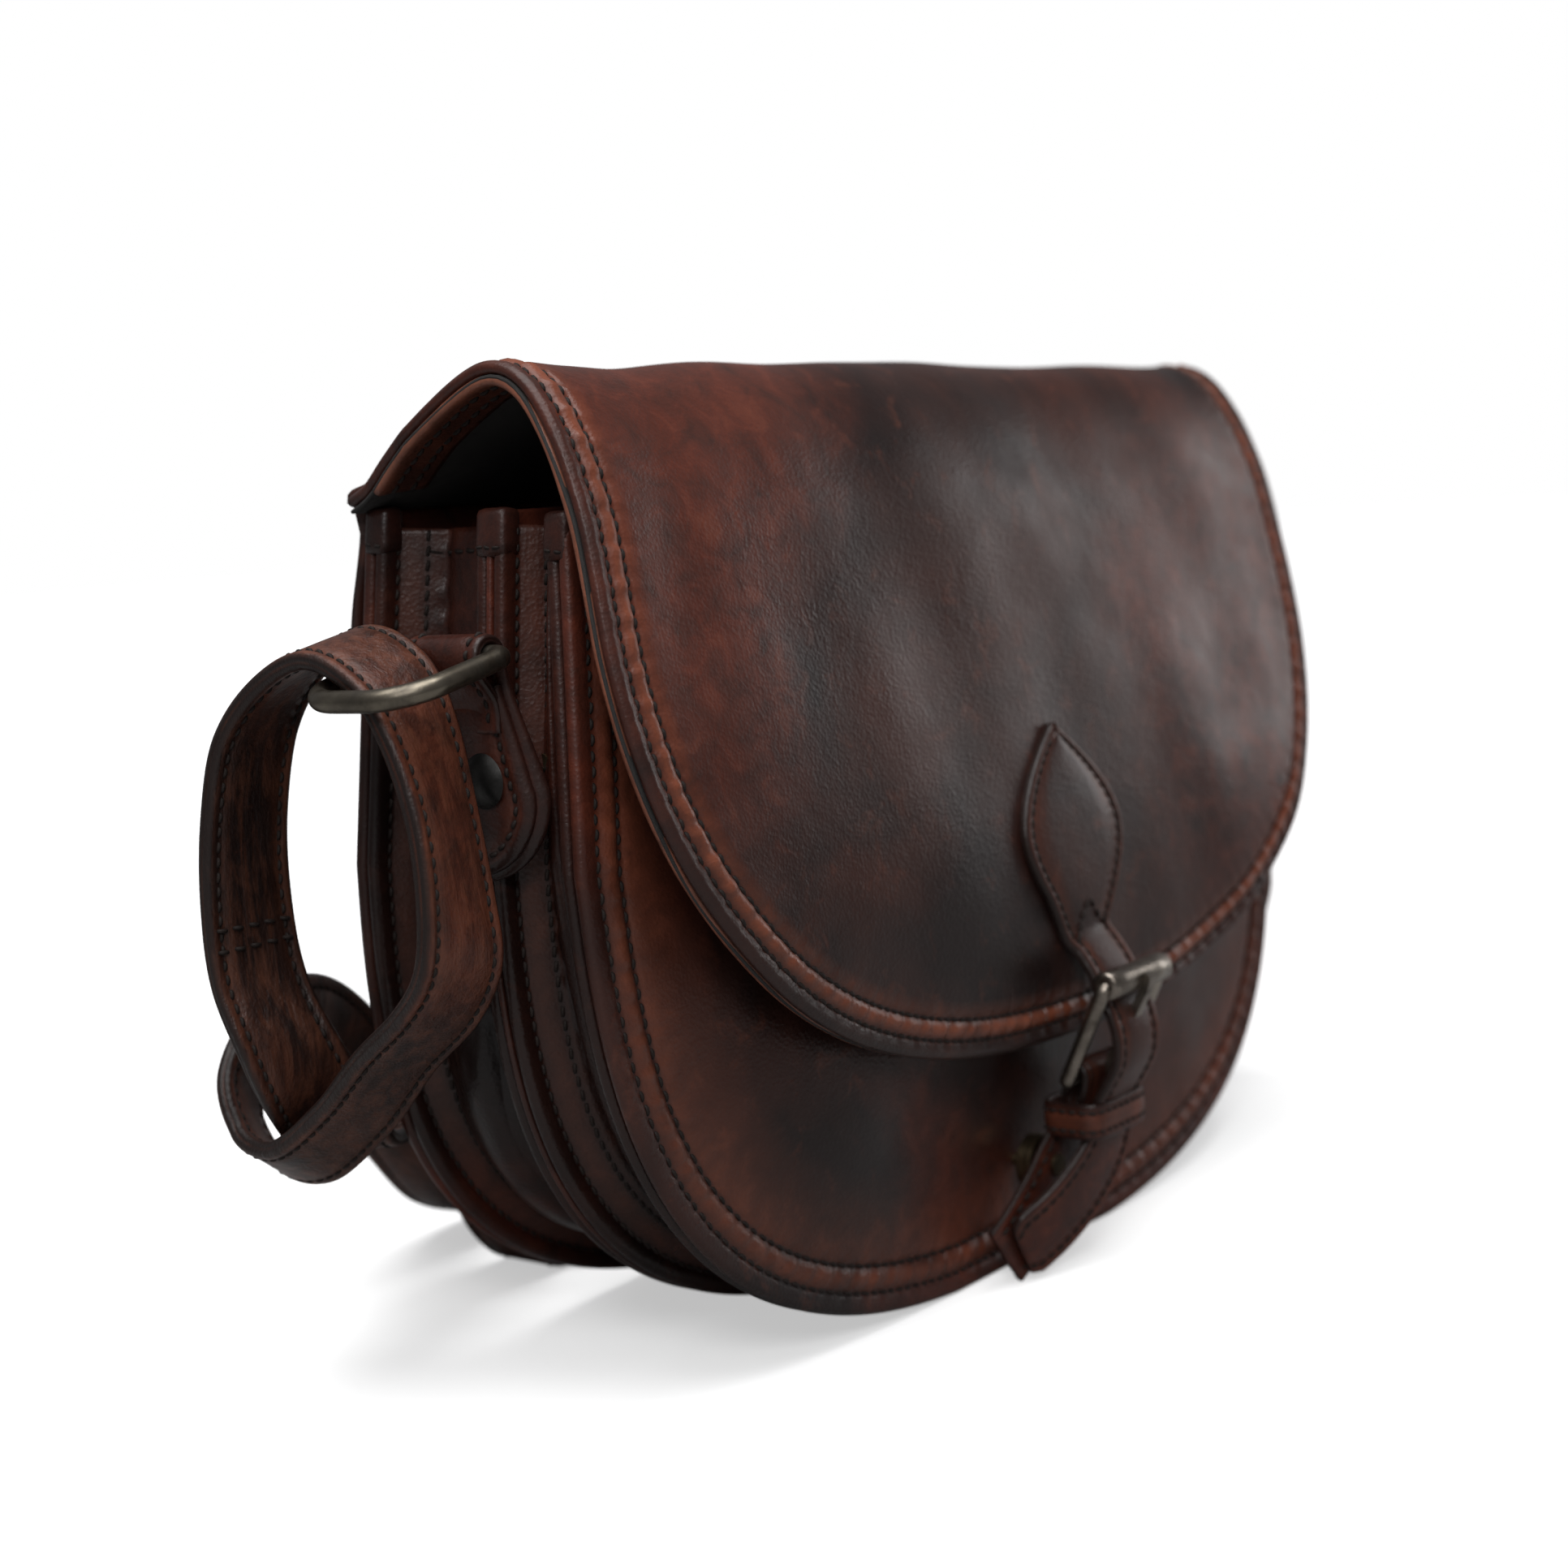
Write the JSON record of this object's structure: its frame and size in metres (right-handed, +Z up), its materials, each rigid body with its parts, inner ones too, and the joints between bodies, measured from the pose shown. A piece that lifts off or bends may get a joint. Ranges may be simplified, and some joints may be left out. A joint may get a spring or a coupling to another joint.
{
  "type": "shoulder bag",
  "caption": "Saddle-style leather shoulder bag: rounded gusseted body, arched front flap with buckled leaf strap and magnetic snap, and a shoulder strap through side D-rings.",
  "frame": {"origin": "on the resting plane under the middle of the bag body, 4 mm behind the middle plane of the divider between the two compartments", "axes": "+X is the bag's width to the right seen from the front, -Y is the front with the flap and buckle, +Z is up"},
  "size_m": [0.3709, 0.1982, 0.2266],
  "materials": {
    "bag_leather": "smooth waxed leather, mottled, semi-gloss",
    "facing_leather": "thin leather, worn copper-brown at the edge",
    "strap_leather": "pull-up leather with lengthwise grain, raw dark edges",
    "strap_backing": "matt flesh side leather",
    "lining_cloth": "woven cotton cloth",
    "zip_tape_cloth": "ribbed tape",
    "aged_brass": "aged brass",
    "ring_brass": "drawn wire, antique brass, worn satin",
    "gunmetal": "dark gunmetal, satin",
    "magnet": "plated magnet, dark",
    "aged_nickel": "antique nickel plate, worn"
  },
  "bodies": {
    "bag": {"back_panel": "bag_leather", "front_panel": "bag_leather", "divider_panel": "bag_leather", "rear_gusset": "bag_leather", "front_gusset": "bag_leather", "rear_lining": "lining_cloth", "front_lining": "lining_cloth", "slip_pocket": "lining_cloth", "zip_tape": "zip_tape_cloth", "zip_teeth": "aged_brass", "ring_tab_left": "bag_leather", "ring_tab_right": "bag_leather", "tab_rivets": "gunmetal", "tab_washers": "aged_brass", "snap_socket": "aged_brass", "snap_magnet": "magnet", "snap_washer": "aged_brass", "strap_tongue": "strap_leather", "strap_tongue_inner": "strap_backing", "strap_run": "strap_leather", "strap_run_inner": "strap_backing", "adjuster_frame": "aged_nickel", "adjuster_chape": "bag_leather", "adjuster_rivet": "aged_brass"},
    "zip_slider": {"zip_slider": "aged_brass"},
    "zip_puller": {"zip_puller": "aged_brass"},
    "flap": {"flap_outer": "bag_leather", "flap_facing": "facing_leather", "flap_lining": "lining_cloth", "leaf_patch": "bag_leather"},
    "closure": {"billet_tail": "bag_leather", "buckle_frame": "aged_nickel", "buckle_chape": "bag_leather", "buckle_keeper": "bag_leather", "snap_stud": "aged_brass"},
    "buckle_prong": {"buckle_prong": "aged_nickel"},
    "buckle_roller": {"buckle_roller": "aged_nickel"},
    "ring_left": {"d_ring_left": "ring_brass", "strap_fold_left": "strap_leather", "strap_fold_left_inner": "strap_backing"},
    "ring_right": {"d_ring_right": "ring_brass", "strap_fold_right": "strap_leather", "strap_fold_right_inner": "strap_backing", "strap_rivet": "aged_brass"},
    "adjuster_prong": {"adjuster_prong": "aged_nickel"},
    "adjuster_roller": {"adjuster_roller": "aged_nickel"},
    "adjuster_keeper": {"adjuster_keeper": "bag_leather"}
  },
  "joints": [
    {"name": "flap_hinge", "type": "hinge", "parent": "bag", "child": "flap", "pos_m": [0, 0.0368, 0.2006], "axis": [-1, 0, 0], "range_deg": [0, 160]},
    {"name": "closure_lift", "type": "hinge", "parent": "flap", "child": "closure", "pos_m": [0, -0.0576, 0.09], "axis": [-1, 0, 0], "range_deg": [0, 60]},
    {"name": "buckle_prong_hinge", "type": "hinge", "parent": "closure", "child": "buckle_prong", "pos_m": [0.002, -0.059, 0.0495], "axis": [1, 0, 0], "range_deg": [0, 35]},
    {"name": "buckle_roller_spin", "type": "hinge", "parent": "closure", "child": "buckle_roller", "pos_m": [0.002, -0.071, 0.0735], "axis": [1, 0, 0], "continuous": true},
    {"name": "ring_left_swing", "type": "hinge", "parent": "bag", "child": "ring_left", "pos_m": [-0.15273, -0.005, 0.167], "axis": [0, 1, 0], "range_deg": [0, 35]},
    {"name": "ring_right_swing", "type": "hinge", "parent": "bag", "child": "ring_right", "pos_m": [0.15273, -0.005, 0.167], "axis": [0, -1, 0], "range_deg": [0, 35]},
    {"name": "zip_slide", "type": "slide", "parent": "bag", "child": "zip_slider", "axis": [1, 0, 0], "range_m": [-0.022, 0.136]},
    {"name": "zip_puller_swing", "type": "hinge", "parent": "zip_slider", "child": "zip_puller", "pos_m": [-0.058, 0.0271, 0.15781], "axis": [-1, 0, 0], "range_deg": [0, 120]},
    {"name": "adjuster_prong_hinge", "type": "hinge", "parent": "bag", "child": "adjuster_prong", "pos_m": [-0.038, 0.074, 0.0048], "axis": [0, 1, 0], "range_deg": [0, 35]},
    {"name": "adjuster_roller_spin", "type": "hinge", "parent": "bag", "child": "adjuster_roller", "pos_m": [-0.06463, 0.074, 0.00807], "axis": [0, 1, 0], "continuous": true},
    {"name": "adjuster_keeper_slide", "type": "slide", "parent": "bag", "child": "adjuster_keeper", "axis": [1, 0, 0], "range_m": [-0.004, 0.006]}
  ]
}
